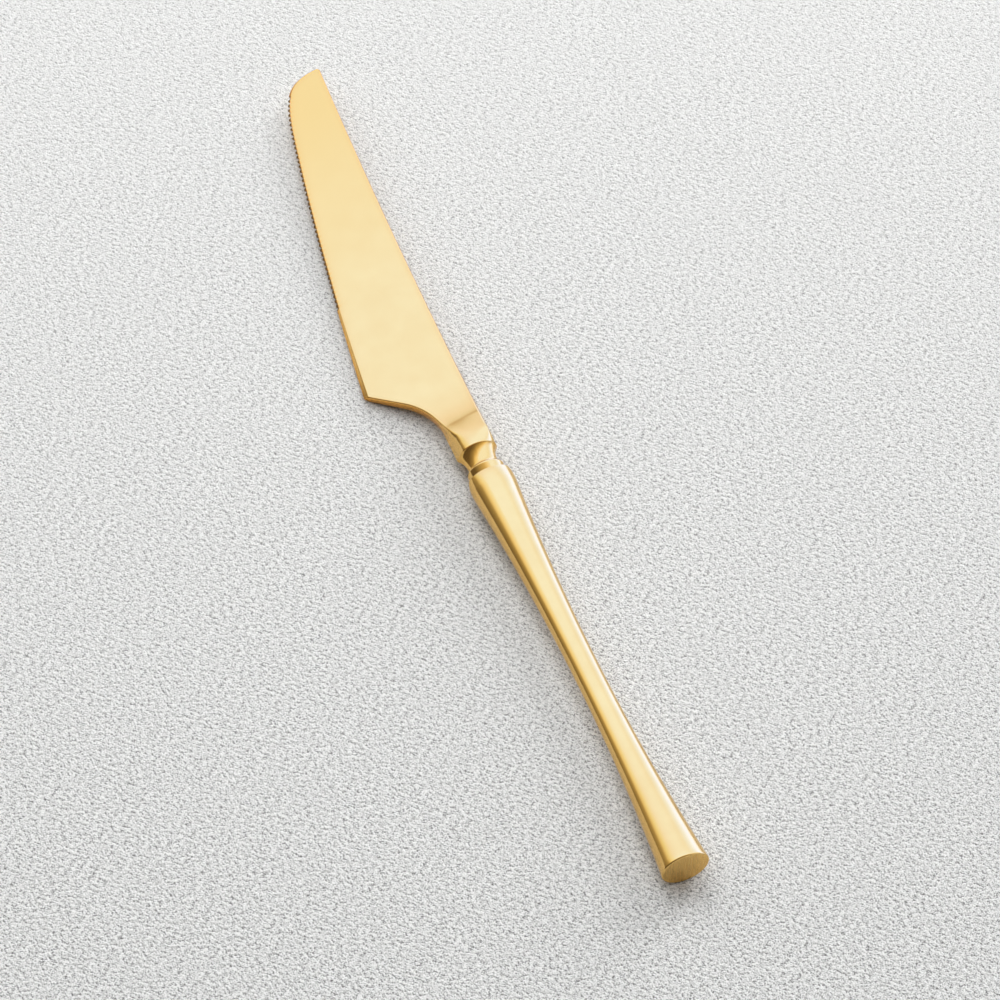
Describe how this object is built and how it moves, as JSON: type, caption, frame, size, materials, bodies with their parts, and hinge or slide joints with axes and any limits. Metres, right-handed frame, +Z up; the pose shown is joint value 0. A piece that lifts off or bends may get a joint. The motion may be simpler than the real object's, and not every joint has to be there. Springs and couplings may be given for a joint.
{
  "type": "salad knife",
  "caption": "Gold table knife with a finely serrated tapering blade, a stepped heel, a turned oval neck and a slim hollow hourglass handle with a flat butt.",
  "frame": {"origin": "on the table, under the middle of the lying knife's bounding box", "axes": "+X from the butt to the tip, +Y from the spine to the cutting edge, +Z up from the table"},
  "size_m": [0.2096, 0.0204, 0.0074],
  "materials": {
    "gold_steel": "satin gold coating over brushed stainless steel",
    "cement": "rough filled resin, hidden inside the handle"
  },
  "bodies": {
    "root": {"blade": "gold_steel", "collar_ring": "gold_steel", "handle_shell_upper": "gold_steel", "handle_shell_lower": "gold_steel", "end_cap": "gold_steel", "handle_cement": "cement"}
  },
  "joints": []
}
